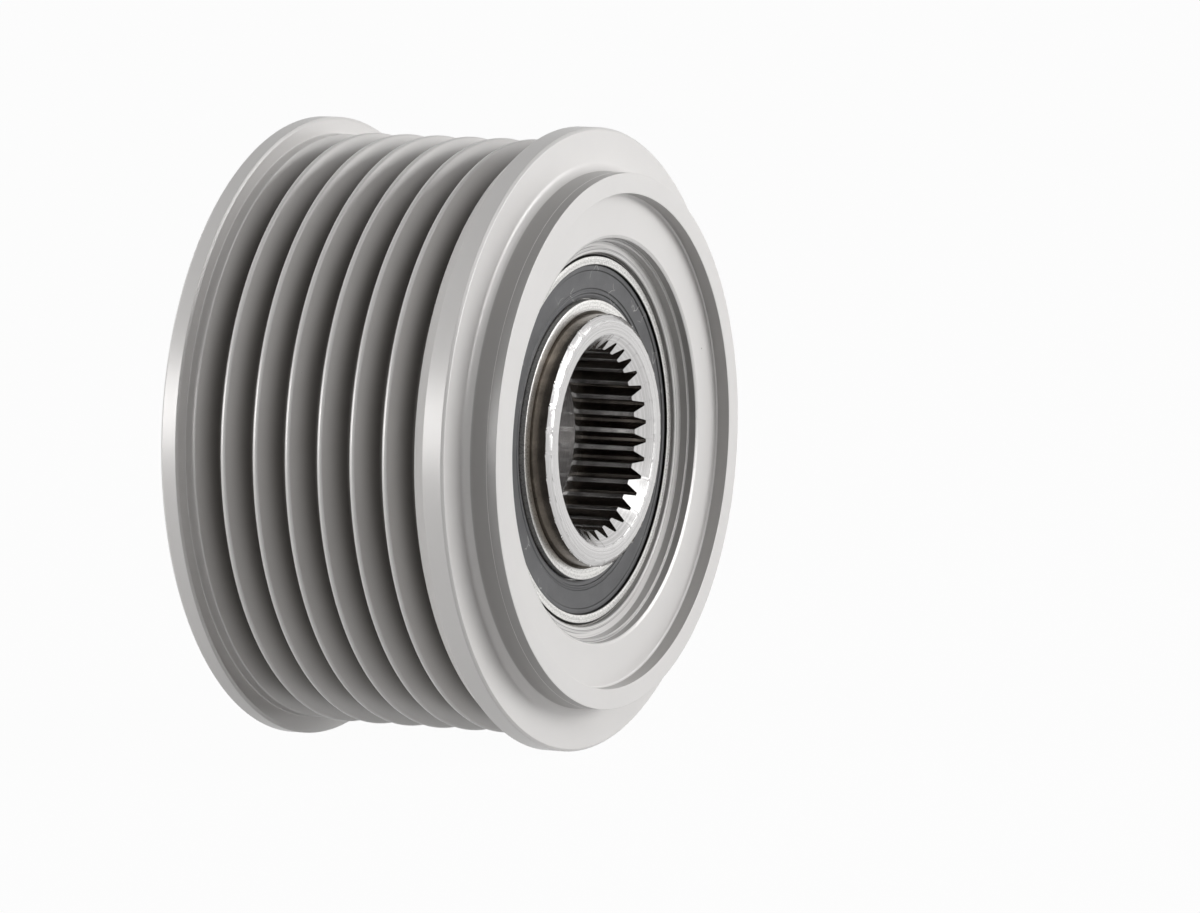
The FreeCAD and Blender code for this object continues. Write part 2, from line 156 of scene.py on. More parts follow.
class BearingSizes(bpy.types.PropertyGroup):
    """Sizes of the two sealed bearings."""
    width: FloatProperty(
        name="Width", description="Width of a bearing's rings",
        default=FRONT_RING_HIGH.z - FRONT_RING_LOW.z, unit="LENGTH", precision=5)
    steps: IntProperty(
        name="Steps", description="Steps of a ring round the axis", default=192, min=48)


class FinishColours(bpy.types.PropertyGroup):
    """Colours of the pulley's finishes, and of painted shade in the grooves and the socket."""
    coat: FloatVectorProperty(
        name="Coat", description="Light grey satin coat of the rim", subtype="COLOR",
        size=4, min=0, max=1, default=(0.75, 0.734, 0.721, 1))
    # Painted shade deep in the belt grooves.
    groove: FloatVectorProperty(
        name="Groove shade", description="Darker coat deep in the belt grooves", subtype="COLOR",
        size=4, min=0, max=1, default=(0.20, 0.189, 0.18, 1))
    ground_steel: FloatVectorProperty(
        name="Ground steel", description="Bright steel of the bearing rings", subtype="COLOR",
        size=4, min=0, max=1, default=(0.68, 0.67, 0.65, 1))
    hub_steel: FloatVectorProperty(
        name="Hub steel", description="Machined steel of the hub's nose", subtype="COLOR",
        size=4, min=0, max=1, default=(0.61, 0.60, 0.595, 1))
    # Painted shade between the socket's teeth.
    socket_shade_steel: FloatVectorProperty(
        name="Oiled steel", description="Dark oiled steel between the teeth", subtype="COLOR",
        size=4, min=0, max=1, default=(0.10, 0.09, 0.08, 1))
    browned_steel: FloatVectorProperty(
        name="Browned steel", description="Dark brown film on the outside of the hub",
        subtype="COLOR", size=4, min=0, max=1, default=(0.16, 0.14, 0.12, 1))
    rubber: FloatVectorProperty(
        name="Rubber", description="Dark grey rubber of the seals", subtype="COLOR",
        size=4, min=0, max=1, default=(0.055, 0.055, 0.058, 1))
    cage: FloatVectorProperty(
        name="Cage plastic", description="Moulded plastic of the cages", subtype="COLOR",
        size=4, min=0, max=1, default=(0.42, 0.33, 0.20, 1))
    polished_steel: FloatVectorProperty(
        name="Polished steel", description="Steel of the balls and rollers", subtype="COLOR",
        size=4, min=0, max=1, default=(0.74, 0.74, 0.74, 1))
    clutch_steel: FloatVectorProperty(
        name="Clutch steel", description="Hardened steel of the clutch sleeve", subtype="COLOR",
        size=4, min=0, max=1, default=(0.50, 0.49, 0.48, 1))
    spring_steel: FloatVectorProperty(
        name="Spring steel", description="Strip steel of the clutch springs", subtype="COLOR",
        size=4, min=0, max=1, default=(0.46, 0.47, 0.50, 1))


class StudioSettings(bpy.types.PropertyGroup):
    """Camera of the photograph."""
    tilt: FloatProperty(
        name="Axis angle", description="Angle between the pulley's axis and the line of sight",
        default=1.105069, subtype="ANGLE")
    roll: FloatProperty(
        name="Axis slope", description="Slope of the pulley's axis in the picture",
        default=0.056793, subtype="ANGLE")
    distance: FloatProperty(
        name="Distance", description="Distance from the camera to the flange face",
        default=0.957906, unit="LENGTH")
    shift_right: FloatProperty(
        name="Offset right", description="Place of the flange face right of the line of sight",
        default=-1.15 * MM, unit="LENGTH", precision=5)
    shift_up: FloatProperty(
        name="Offset up", description="Place of the flange face above the line of sight",
        default=1.66 * MM, unit="LENGTH", precision=5)
    lens: FloatProperty(
        name="Focal length", description="Lens of the camera, in millimetres", default=290.675)


GROUPS = {
    "pulley_body_sizes": PulleyBodySizes,
    "pulley_hub_sizes": HubSizes,
    "pulley_bearing_sizes": BearingSizes,
    "pulley_colours": FinishColours,
    "pulley_studio": StudioSettings,
}


# Mesh tools

def rounded(mesh, corner, rounding):
    """Rounds a corner of a flat outline to a radius."""
    first, second = (edge.other_vert(corner).co - corner.co for edge in corner.link_edges)
    reach = rounding / math.tan(first.angle(second) / 2)
    bmesh.ops.bevel(mesh, geom=[corner], offset=reach, offset_type="OFFSET", segments=4,
                    profile=0.5, affect="VERTICES", material=-1)


def outline(mesh, corners):
    """Closed outline of (radius, height, rounding) corners in the XZ plane."""
    points = [mesh.verts.new((radius, 0, height)) for radius, height, _ in corners]
    for first, last in zip(points, points[1:] + points[:1]):
        mesh.edges.new((first, last))
    for point, (_, _, rounding) in zip(points, corners):
        if rounding:
            rounded(mesh, point, rounding)


def turned(corners, steps):
    """Shape turned about the axis from an outline of (radius, height, rounding) corners."""
    mesh = bmesh.new()
    outline(mesh, corners)
    bmesh.ops.spin(mesh, geom=mesh.verts[:] + mesh.edges[:], cent=ORIGIN, axis=AXIS,
                   dvec=ORIGIN, angle=2 * math.pi, steps=steps, use_merge=True)
    bmesh.ops.recalc_face_normals(mesh, faces=mesh.faces[:])
    return mesh


def corners_of(made):
    """Corners among what a mesh operator made."""
    return [item for item in made if isinstance(item, bmesh.types.BMVert)]


def next_ring(mesh, ring, place):
    """Extrudes a ring of edges; place gives each new corner's place from its old one."""
    made = bmesh.ops.extrude_edge_only(mesh, edges=ring)["geom"]
    corners = set(corners_of(made))
    for corner in corners:
        corner.co = place(corner.co)
    return [item for item in made
            if isinstance(item, bmesh.types.BMEdge) and corners.issuperset(item.verts)]


def on_circle(radius, height):
    """Place on a circle about the axis, at the same angle."""
    def place(old):
        flat = Vector((old.x, old.y, 0)).normalized() * radius
        return Vector((flat.x, flat.y, height))
    return place


def piece(name, mesh, body, slot, material, *nodes):
    """Finished piece that rides on a body and stands for CAD nodes."""
    data = bpy.data.meshes.new(name)
    mesh.to_mesh(data)
    mesh.free()
    data.shade_smooth()
    data.set_sharp_from_angle(angle=SHARP_ANGLE)
    made = bpy.data.objects.new(name, data)
    bpy.context.collection.objects.link(made)
    weighted = made.modifiers.new("Even shading", "WEIGHTED_NORMAL")
    weighted.keep_sharp = True
    data.materials.append(material)
    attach(made, body)
    if nodes:
        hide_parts(*nodes)


# Material tools

def feed(tree, socket, value):
    """Links a socket to another, or gives it a plain value."""
    if isinstance(value, bpy.types.NodeSocket):
        tree.links.new(value, socket)
    else:
        socket.default_value = value


def maths(tree, operation, *values):
    """Result of a Math node."""
    node = tree.nodes.new("ShaderNodeMath")
    node.operation = operation
    for socket, value in zip(node.inputs, values):
        feed(tree, socket, value)
    return node.outputs[0]


def between(tree, value, low, high):
    """0 at low and below, 1 at high and above, smooth between them."""
    node = tree.nodes.new("ShaderNodeMapRange")
    node.interpolation_type = "SMOOTHSTEP"
    feed(tree, node.inputs["Value"], value)
    feed(tree, node.inputs["From Min"], low)
    feed(tree, node.inputs["From Max"], high)
    return node.outputs[0]


def scaled(tree, value, low, high):
    """Value from 0 to 1 stretched between low and high."""
    node = tree.nodes.new("ShaderNodeMapRange")
    feed(tree, node.inputs["Value"], value)
    feed(tree, node.inputs["To Min"], low)
    feed(tree, node.inputs["To Max"], high)
    return node.outputs[0]


def noise(tree, vector, scale, detail=2.0, roughness=0.5):
    """Noise from about 0 to 1."""
    node = tree.nodes.new("ShaderNodeTexNoise")
    feed(tree, node.inputs["Vector"], vector)
    feed(tree, node.inputs["Scale"], scale)
    node.inputs["Detail"].default_value = detail
    node.inputs["Roughness"].default_value = roughness
    return node.outputs["Fac"]


def mixed(tree, share, first, second):
    """Colour from first at 0 to second at 1."""
    node = tree.nodes.new("ShaderNodeMix")
    node.data_type = "RGBA"
    feed(tree, node.inputs["Factor"], share)
    feed(tree, node.inputs["A"], first)
    feed(tree, node.inputs["B"], second)
    return node.outputs["Result"]


def mixed_value(tree, share, first, second):
    """Value from first at 0 to second at 1."""
    node = tree.nodes.new("ShaderNodeMix")
    feed(tree, node.inputs["Factor"], share)
    feed(tree, node.inputs["A"], first)
    feed(tree, node.inputs["B"], second)
    return node.outputs["Result"]


def group_tree(name, takes, gives):
    """New shader node group with its inner input and output sockets."""
    tree = bpy.data.node_groups.new(name, "ShaderNodeTree")
    for label, default in takes.items():
        socket = tree.interface.new_socket(label, in_out="INPUT", socket_type="NodeSocketFloat")
        socket.default_value = default
    for label in gives:
        tree.interface.new_socket(label, in_out="OUTPUT", socket_type="NodeSocketFloat")
    inner = tree.nodes.new("NodeGroupInput").outputs
    return tree, inner, tree.nodes.new("NodeGroupOutput").inputs


def placed_group(tree, name, **values):
    """Outputs of a shared group placed in a tree, with its inputs fed."""
    node = tree.nodes.new("ShaderNodeGroup")
    node.node_tree = bpy.data.node_groups[name]
    for label, value in values.items():
        feed(tree, node.inputs[label], value)
    return node.outputs


def effect(tree, name, **values):
    """The one output of a shared effect."""
    return placed_group(tree, name, **values)[0]


def object_place(tree):
    """Place of a point in the piece's own coordinates."""
    return tree.nodes.new("ShaderNodeTexCoord").outputs["Object"]


def round_axis_group():
    """Radius, height and turn of a point about the pulley's axis."""
    tree, _, gives = group_tree("Round the axis", {}, ("Radius", "Height", "Turn"))
    split = tree.nodes.new("ShaderNodeSeparateXYZ")
    tree.links.new(object_place(tree), split.inputs[0])
    x, y, z = split.outputs
    across = maths(tree, "ADD", maths(tree, "MULTIPLY", x, x), maths(tree, "MULTIPLY", y, y))
    feed(tree, gives["Radius"], maths(tree, "SQRT", across))
    feed(tree, gives["Height"], z)
    feed(tree, gives["Turn"], maths(tree, "ARCTAN2", y, x))


def turning_lines_group():
    """Fine lines that a cutting tool leaves round the axis, from 0 to 1."""
    tree, takes, gives = group_tree("Turning lines", {"Fineness": 9000.0, "Drift": 0.6},
                                    ("Lines",))
    place = placed_group(tree, "Round the axis")
    vector = tree.nodes.new("ShaderNodeCombineXYZ")
    feed(tree, vector.inputs[0], maths(tree, "MULTIPLY", place["Radius"], takes["Fineness"]))
    feed(tree, vector.inputs[1], maths(tree, "MULTIPLY", place["Height"], takes["Fineness"]))
    feed(tree, vector.inputs[2], maths(tree, "MULTIPLY", maths(tree, "COSINE", place["Turn"]),
                                       takes["Drift"]))
    feed(tree, gives["Lines"], noise(tree, vector.outputs[0], 1.0, 3.0, 0.65))


def specks_group():
    """Small scattered specks, 1 in a speck and 0 outside."""
    tree, takes, gives = group_tree(
        "Specks", {"Spacing": 2.5 * MM, "Size": 0.1 * MM, "Share": 0.3}, ("Specks",))
    place = object_place(tree)
    cells = tree.nodes.new("ShaderNodeTexVoronoi")
    feed(tree, cells.inputs["Vector"], place)
    feed(tree, cells.inputs["Scale"], maths(tree, "DIVIDE", 1.0, takes["Spacing"]))
    reach = maths(tree, "DIVIDE", takes["Size"], takes["Spacing"])
    pick = tree.nodes.new("ShaderNodeSeparateColor")
    tree.links.new(cells.outputs["Color"], pick.inputs[0])
    chosen = maths(tree, "LESS_THAN", pick.outputs[0], takes["Share"])
    own_reach = maths(tree, "MULTIPLY", reach, maths(tree, "ADD", pick.outputs[1], 0.35))
    core = maths(tree, "MULTIPLY", own_reach, 0.5)
    inside = between(tree, cells.outputs["Distance"], own_reach, core)
    feed(tree, gives["Specks"], maths(tree, "MULTIPLY", inside, chosen))


def smudge_group():
    """Broad soft patches, from 0 to 1."""
    tree, takes, gives = group_tree("Smudges", {"Size": 6 * MM, "Contrast": 1.0}, ("Smudges",))
    place = object_place(tree)
    broad = noise(tree, place, maths(tree, "DIVIDE", 1.0, takes["Size"]), 4.0, 0.55)
    centred = maths(tree, "MULTIPLY", maths(tree, "SUBTRACT", broad, 0.5), takes["Contrast"])
    feed(tree, gives["Smudges"], maths(tree, "ADD", centred, 0.5))


def grain_group():
    """Fine even grain of a coat or a ground face, from 0 to 1."""
    tree, takes, gives = group_tree("Grain", {"Size": 0.12 * MM}, ("Grain",))
    place = object_place(tree)
    fine = noise(tree, place, maths(tree, "DIVIDE", 1.0, takes["Size"]), 2.0, 0.6)
    feed(tree, gives["Grain"], fine)


def scuff_group():
    """Thin straight scuffs in random directions, 1 in a scuff."""
    tree, takes, gives = group_tree("Scuffs", {"Spacing": 3 * MM, "Share": 0.3}, ("Scuffs",))
    place = object_place(tree)
    bend = tree.nodes.new("ShaderNodeTexNoise")
    feed(tree, bend.inputs["Vector"], place)
    bend.inputs["Scale"].default_value = 260.0
    shifted = tree.nodes.new("ShaderNodeVectorMath")
    shifted.operation = "MULTIPLY_ADD"
    tree.links.new(bend.outputs["Color"], shifted.inputs[0])
    shifted.inputs[1].default_value = (0.004, 0.004, 0.004)
    tree.links.new(place, shifted.inputs[2])
    cells = tree.nodes.new("ShaderNodeTexVoronoi")
    cells.feature = "DISTANCE_TO_EDGE"
    feed(tree, cells.inputs["Vector"], shifted.outputs[0])
    feed(tree, cells.inputs["Scale"], maths(tree, "DIVIDE", 1.0, takes["Spacing"]))
    line = between(tree, cells.outputs["Distance"], 0.022, 0.008)
    bare = maths(tree, "SUBTRACT", 1.0, takes["Share"])
    patch = between(tree, noise(tree, place, 330.0, 2.0), bare, maths(tree, "ADD", bare, 0.08))
    feed(tree, gives["Scuffs"], maths(tree, "MULTIPLY", line, patch))


def make_groups():
    """Builds the shared node groups once."""
    for build in (round_axis_group, turning_lines_group, specks_group, smudge_group, grain_group,
                  scuff_group):
        build()


def principled(name, colour, metallic, roughness, height, depth):
    """Material from a colour, metalness, roughness and surface height in metres."""
    made = bpy.data.materials.new(name)
    made.use_nodes = True
    tree = made.node_tree
    shader = tree.nodes["Principled BSDF"]
    feed(tree, shader.inputs["Base Color"], colour(tree))
    shader.inputs["Metallic"].default_value = metallic
    feed(tree, shader.inputs["Roughness"], roughness(tree))
    bump = tree.nodes.new("ShaderNodeBump")
    bump.inputs["Distance"].default_value = depth
    feed(tree, bump.inputs["Height"], height(tree))
    tree.links.new(bump.outputs["Normal"], shader.inputs["Normal"])
    return made


def toned(colour, share):
    """Colour made darker or lighter by a share."""
    return [min(1.0, share * part) for part in colour[:3]] + [1.0]


# Near-black painted shade for the creases between rings, seals and body.
CREASE_SHADE_GREY = (0.015, 0.014, 0.013, 1)
SPECK_GREY = (0.12, 0.11, 0.10, 1)
SCUFF_GREY = (0.42, 0.41, 0.40, 1)
# Painted shade in creases, radius and reach of each: on the rings at the outer chamfer against the
# body and at the seal's edge; on the seals at the rim and the lip steps.
RING_CREASE_SHADES = ((18.25 * MM, 0.14 * MM), (17.31 * MM, 0.09 * MM))  # radius and reach of each
SEAL_CREASE_SHADES = ((17.28 * MM, 0.10 * MM), (16.77 * MM, 0.07 * MM), (14.93 * MM, 0.07 * MM),
              (14.50 * MM, 0.05 * MM))


def upright(tree):
    """1 on surfaces that run along the pulley's axis, 0 on those that face along it."""
    facing = tree.nodes.new("ShaderNodeSeparateXYZ")
    tree.links.new(tree.nodes.new("ShaderNodeTexCoord").outputs["Normal"], facing.inputs[0])
    return between(tree, maths(tree, "ABSOLUTE", facing.outputs[2]), 0.35, 0.2)


def crease_shade(tree, radius, reach):
    """Mask of painted shade in a crease: 1 on a narrow ring at a radius, fading to 0 within its
    reach.
    """
    place = placed_group(tree, "Round the axis")
    off = maths(tree, "ABSOLUTE", maths(tree, "SUBTRACT", place["Radius"], radius))
    return between(tree, off, reach, 0.6 * reach)


def coat_material(sizes, colours):
    """Satin coat: painted shade deep in the grooves and on the ring's walls, lined in the well, a
    few specks.
    """
    def in_well(tree):
        place = placed_group(tree, "Round the axis")
        return between(tree, place["Radius"], sizes.well_radius + 0.15 * MM,
                       sizes.well_radius + 0.05 * MM)

    def colour(tree):
        place = placed_group(tree, "Round the axis")
        # Painted shade: the coat is darkened deep in the belt grooves, between the rear land and
        # the flange, where shade falls.
        deep = between(tree, place["Radius"], sizes.tip_radius - 0.2 * MM, sizes.floor_radius)
        behind = between(tree, place["Height"], sizes.flange_face - 1.2 * MM,
                         sizes.flange_face - 1.6 * MM)
        before = between(tree, place["Height"], sizes.first_groove - 2.2 * MM,
                         sizes.first_groove - 1.8 * MM)
        shade = maths(tree, "MULTIPLY", deep, maths(tree, "MULTIPLY", behind, before))
        patches = effect(tree, "Smudges", Size=9 * MM, Contrast=1.2)
        coat = mixed(tree, patches, toned(colours.coat, 0.96), toned(colours.coat, 1.03))
        lines = effect(tree, "Turning lines", Fineness=5000.0)
        cut = maths(tree, "MULTIPLY", between(tree, lines, 0.46, 0.60), in_well(tree))
        turned_coat = mixed(tree, cut, coat, toned(colours.coat, 0.45))
        # Painted shade: upright walls above the flange face (raised ring, cap seat and well) are
        # darkened as if in the flange's shade.
        painted_wall_shade = maths(tree, "MULTIPLY", upright(tree),
                           between(tree, place["Height"], sizes.flange_face + 0.1 * MM,
                                   sizes.flange_face + 0.2 * MM))
        wall_shaded = mixed(tree, painted_wall_shade, turned_coat, toned(colours.coat, 0.6))
        groove_shaded = mixed(tree, shade, wall_shaded, colours.groove[:])
        specks = effect(tree, "Specks", Spacing=4 * MM, Size=0.16 * MM, Share=0.14)
        return mixed(tree, maths(tree, "MULTIPLY", specks, 0.75), groove_shaded, SPECK_GREY)

    def roughness(tree):
        grain = effect(tree, "Grain", Size=0.3 * MM)
        return mixed_value(tree, in_well(tree), scaled(tree, grain, 0.30, 0.40), 0.20)

    def height(tree):
        grain = effect(tree, "Grain", Size=0.14 * MM)
        lines = effect(tree, "Turning lines", Fineness=6000.0)
        return mixed_value(tree, 0.5, grain, lines)

    return principled("Satin coat", colour, 0.15, roughness, height, 0.003 * MM)


def steel_material(name, tint, dark_share, rough_low, rough_high, fineness, depth, crease_shades=()):
    """Ground or turned steel with tool lines, a mottled sheen and painted shade in the creases at
    some radii.
    """
    def colour(tree):
        lines = effect(tree, "Turning lines", Fineness=fineness)
        grain = effect(tree, "Grain", Size=0.22 * MM)
        cut = between(tree, maths(tree, "MULTIPLY", lines, grain), 0.30, 0.16)
        marks = maths(tree, "MULTIPLY", cut, dark_share)
        ground = mixed(tree, marks, tint, toned(tint, 0.35))
        # Painted shade: near-black rings at the given radii, in the crevices between parts.
        for radius, reach in crease_shades:
            ground = mixed(tree, crease_shade(tree, radius, reach), ground, CREASE_SHADE_GREY)
        return ground

    def roughness(tree):
        grain = effect(tree, "Grain", Size=0.16 * MM)
        return scaled(tree, grain, rough_low, rough_high)

    def height(tree):
        lines = effect(tree, "Turning lines", Fineness=fineness)
        grain = effect(tree, "Grain", Size=0.10 * MM)
        return mixed_value(tree, 0.25, lines, grain)

    return principled(name, colour, 1.0, roughness, height, depth)


def hub_material(sizes, colours):
    """Machined hub: bright nose and flare, teeth darkened with painted shade, brushed bore and
    browned outside.
    """
    def colour(tree):
        place = placed_group(tree, "Round the axis")
        along = upright(tree)
        in_socket = between(tree, place["Height"], sizes.socket_end - 0.02 * MM,
                            sizes.socket_end + 0.02 * MM)
        off_crest = between(tree, place["Radius"], sizes.crest_radius + 0.02 * MM,
                            sizes.crest_radius + 0.09 * MM)
        inside = between(tree, place["Radius"], sizes.mouth_radius, sizes.root_radius + 0.1 * MM)
        broached = maths(tree, "MULTIPLY", maths(tree, "MULTIPLY", along, in_socket), inside)
        # Painted shade in the socket: tooth flanks and roots nearly black, crests darker than the
        # nose, where shade falls inside the serration.
        streaks = effect(tree, "Smudges", Size=1.2 * MM, Contrast=1.8)
        socket_flank_shade = mixed(tree, streaks, toned(colours.socket_shade_steel, 0.6),
                      toned(colours.socket_shade_steel, 1.8))
        crest = mixed(tree, streaks, toned(colours.hub_steel, 0.33),
                      toned(colours.hub_steel, 0.68))
        teeth = mixed(tree, off_crest, crest, socket_flank_shade)
        outer = between(tree, place["Radius"], sizes.radius - 0.2 * MM, sizes.radius - 0.1 * MM)
        outside = maths(tree, "MULTIPLY", along, outer)
        patches = effect(tree, "Smudges", Size=2.5 * MM, Contrast=2.2)
        browned = mixed(tree, patches, toned(colours.browned_steel, 0.6),
                        toned(colours.browned_steel, 1.5))
        lines = effect(tree, "Turning lines", Fineness=7000.0)
        nose = mixed(tree, between(tree, lines, 0.60, 0.40), colours.hub_steel[:],
                     toned(colours.hub_steel, 0.88))
        return mixed(tree, broached, mixed(tree, outside, nose, browned), teeth)

    def roughness(tree):
        grain = effect(tree, "Grain", Size=0.2 * MM)
        return scaled(tree, grain, 0.19, 0.26)

    def height(tree):
        lines = effect(tree, "Turning lines", Fineness=8000.0)
        grain = effect(tree, "Grain", Size=0.10 * MM)
        return mixed_value(tree, 0.2, lines, grain)

    return principled("Machined hub steel", colour, 0.95, roughness, height, 0.0011 * MM)


def rubber_material(colours):
    """Moulded seal rubber with dust, a soft sheen, painted shade at its rim and lip steps, and a
    few pale scuffs.
    """
    def colour(tree):
        dust = effect(tree, "Smudges", Size=3 * MM, Contrast=1.6)
        moulded = mixed(tree, dust, toned(colours.rubber, 0.7), toned(colours.rubber, 1.5))
        # Painted shade: darker rings at the seal's rim and its lip steps, where shade falls.
        for radius, reach in SEAL_CREASE_SHADES:
            moulded = mixed(tree, crease_shade(tree, radius, reach), moulded, toned(colours.rubber, 0.25))
        scuffs = effect(tree, "Scuffs", Spacing=2.2 * MM, Share=0.42)
        return mixed(tree, maths(tree, "MULTIPLY", scuffs, 0.6), moulded, SCUFF_GREY)

    def roughness(tree):
        grain = effect(tree, "Grain", Size=0.15 * MM)
        return scaled(tree, grain, 0.32, 0.52)

    def height(tree):
        return effect(tree, "Grain", Size=0.12 * MM)

    return principled("Seal rubber", colour, 0.0, roughness, height, 0.004 * MM)


def plastic_material(colours):
    """Moulded cage plastic, a little cloudy."""
    def colour(tree):
        cloud = effect(tree, "Smudges", Size=2 * MM, Contrast=1.0)
        return mixed(tree, cloud, toned(colours.cage, 0.85), toned(colours.cage, 1.12))

    def roughness(tree):
        return scaled(tree, effect(tree, "Grain", Size=0.2 * MM), 0.38, 0.52)

    def height(tree):
        return effect(tree, "Grain", Size=0.1 * MM)

    return principled("Cage plastic", colour, 0.0, roughness, height, 0.003 * MM)


# Pieces

RIM_BEVEL = 0.3 * MM
REAR_RIM_EDGE = 1.75 * MM
REAR_RIM_TOP = 1.9 * MM
REAR_NECK_RADIUS = 29.2 * MM
REAR_LAND_DROP = 0.25 * MM
REAR_LAND_ROUNDING = 0.15 * MM
FLANGE_FOOT_ROUNDING = 0.08 * MM
FLANGE_BEVEL = 1.2 * MM
FLANGE_EDGE = 0.25 * MM
REAR_PROFILE = (  # radius, height and rounding in millimetres, from the bearing's seat outwards
    (18.5, 3.0, 0), (17.6, 3.0, 0.1), (17.6, 0.5, 0.15), (18.1, 0, 0.15),
)
FRONT_PROFILE = (  # the same, above the flange face: raised ring, cap seat, well, bearing's seat
    (26.56, 0.0, 0.95), (26.56, 2.44, 0), (26.535, 2.48, 0), (26.535, 3.5, 0.07),
    (24.5, 3.5, 0.07), (24.5, 2.06, 0.22), (20.35, 2.06, 0.04), (20.05, 1.91, 0.05),
    (20.05, 1.16, 0.08), (19.68, 1.16, 0.05), (19.68, 0.36, 0.08), (18.63, 0.36, 0.03),
    (18.5, 0.23, 0.03),
)


def groove_corners(sizes):
    """Outline of the belt grooves from rear to front."""
    corners = []
    mouth = (sizes.rib_pitch - sizes.rib_land) / 2
    slope = (mouth - sizes.floor_width / 2) / (sizes.tip_radius - sizes.floor_radius)
    rear_land = sizes.tip_radius - REAR_LAND_DROP
    for index in range(sizes.groove_count):
        middle = sizes.first_groove + index * sizes.rib_pitch
        if index == 0:
            half = sizes.floor_width / 2 + (rear_land - sizes.floor_radius) * slope
            corners.append((rear_land, middle - half, REAR_LAND_ROUNDING))
        else:
            corners.append((sizes.tip_radius, middle - mouth, sizes.tip_rounding))
        corners.append((sizes.floor_radius, middle - sizes.floor_width / 2, sizes.floor_rounding))
        corners.append((sizes.floor_radius, middle + sizes.floor_width / 2, sizes.floor_rounding))
        last = index == sizes.groove_count - 1
        corners.append((sizes.tip_radius, middle + mouth,
                        FLANGE_FOOT_ROUNDING if last else sizes.tip_rounding))
    return corners


def body_corners(sizes):
    """Outline of the pulley body from its rear lip round to the front bearing's seat."""
    rim = sizes.rim_radius
    face = sizes.flange_face
    bevel = sizes.first_groove + (sizes.groove_count - 1) * sizes.rib_pitch \
        + (sizes.rib_pitch + sizes.rib_land) / 2
    return (
        [(radius * MM, height * MM, rounding * MM) for radius, height, rounding in REAR_PROFILE]
        + [(rim - RIM_BEVEL, 0, 0.08 * MM), (rim, RIM_BEVEL, 0.08 * MM),
           (rim, REAR_RIM_EDGE, 0.07 * MM), (rim - RIM_BEVEL, REAR_RIM_TOP, 0.07 * MM),
           (REAR_NECK_RADIUS, REAR_RIM_TOP, 0.1 * MM)]
        + groove_corners(sizes)
        + [(rim, bevel + FLANGE_BEVEL, 0.05 * MM), (rim, face - FLANGE_EDGE, 0.1 * MM),
           (rim - FLANGE_EDGE, face, 0.1 * MM)]
        + [(radius * MM, face + height * MM, rounding * MM)
           for radius, height, rounding in FRONT_PROFILE]
    )


class PULLEY_OT_body(bpy.types.Operator):
    """Turned pulley body with belt grooves, rims, raised front ring and bearing well"""
    bl_idname = "pulley.body"
    bl_label = "Pulley body"

    def execute(self, context):
        sizes = context.scene.pulley_body_sizes
        mesh = turned(body_corners(sizes), sizes.steps)
        piece("coated_pulley_body", mesh, "pulley", "coated_rim",
              coat_material(sizes, context.scene.pulley_colours), "pulley_body")
        return {"FINISHED"}


ROOT_WIDTH = 0.35 * MM
CREST_WIDTH = 0.45 * MM
TOOTH_ROUNDING = 0.09 * MM
NOSE_EDGE_IN = 0.59 * MM
NOSE_EDGE_DOWN = 0.37 * MM
REAR_LEAD = 0.5 * MM
SEAT_DEPTH = 5.0 * MM
THREAD_WALL = 0.87 * MM  # from the thread's crests out to the wall behind its roots
THREAD_RUN_OUT = 4.0 * MM
THREAD_INSET = 0.02 * MM
THREAD_DEPTH = 0.83 * MM
THREAD_START = 4.6 * MM
THREAD_STOP = 3.6 * MM
THREAD_TURN = (  # 0 at the thread's crest and 1 at its root, share of the pitch
    (0, 0.0), (0, 0.24), (1, 0.55), (1, 0.69), (0, 1.0),
)
STEPS_PER_TURN = 48


def tooth_ring(mesh, sizes):
    """Closed ring of edges round the serrated socket, at the socket's end."""
    step = 2 * math.pi / sizes.teeth
    root = math.asin(ROOT_WIDTH / 2 / sizes.root_radius)
    crest = math.asin(CREST_WIDTH / 2 / sizes.crest_radius)
    chain = [(sizes.root_radius * math.cos(root), 0), (sizes.root_radius, root),
             (sizes.crest_radius, step / 2 - crest), (sizes.crest_radius, step / 2 + crest),
             (sizes.root_radius, step - root), (sizes.root_radius * math.cos(root), step)]
    points = [mesh.verts.new((radius * math.cos(angle), radius * math.sin(angle),
                              sizes.socket_end)) for radius, angle in chain]
    for first, last in zip(points, points[1:]):
        mesh.edges.new((first, last))
    for point in points[1:-1]:
        rounded(mesh, point, TOOTH_ROUNDING)
    bmesh.ops.spin(mesh, geom=mesh.verts[:] + mesh.edges[:], cent=ORIGIN, axis=AXIS, dvec=ORIGIN,
                   angle=2 * math.pi - step, steps=sizes.teeth - 1, use_duplicate=True)
    bmesh.ops.remove_doubles(mesh, verts=mesh.verts[:], dist=0.001 * MM)
    return mesh.edges[:]


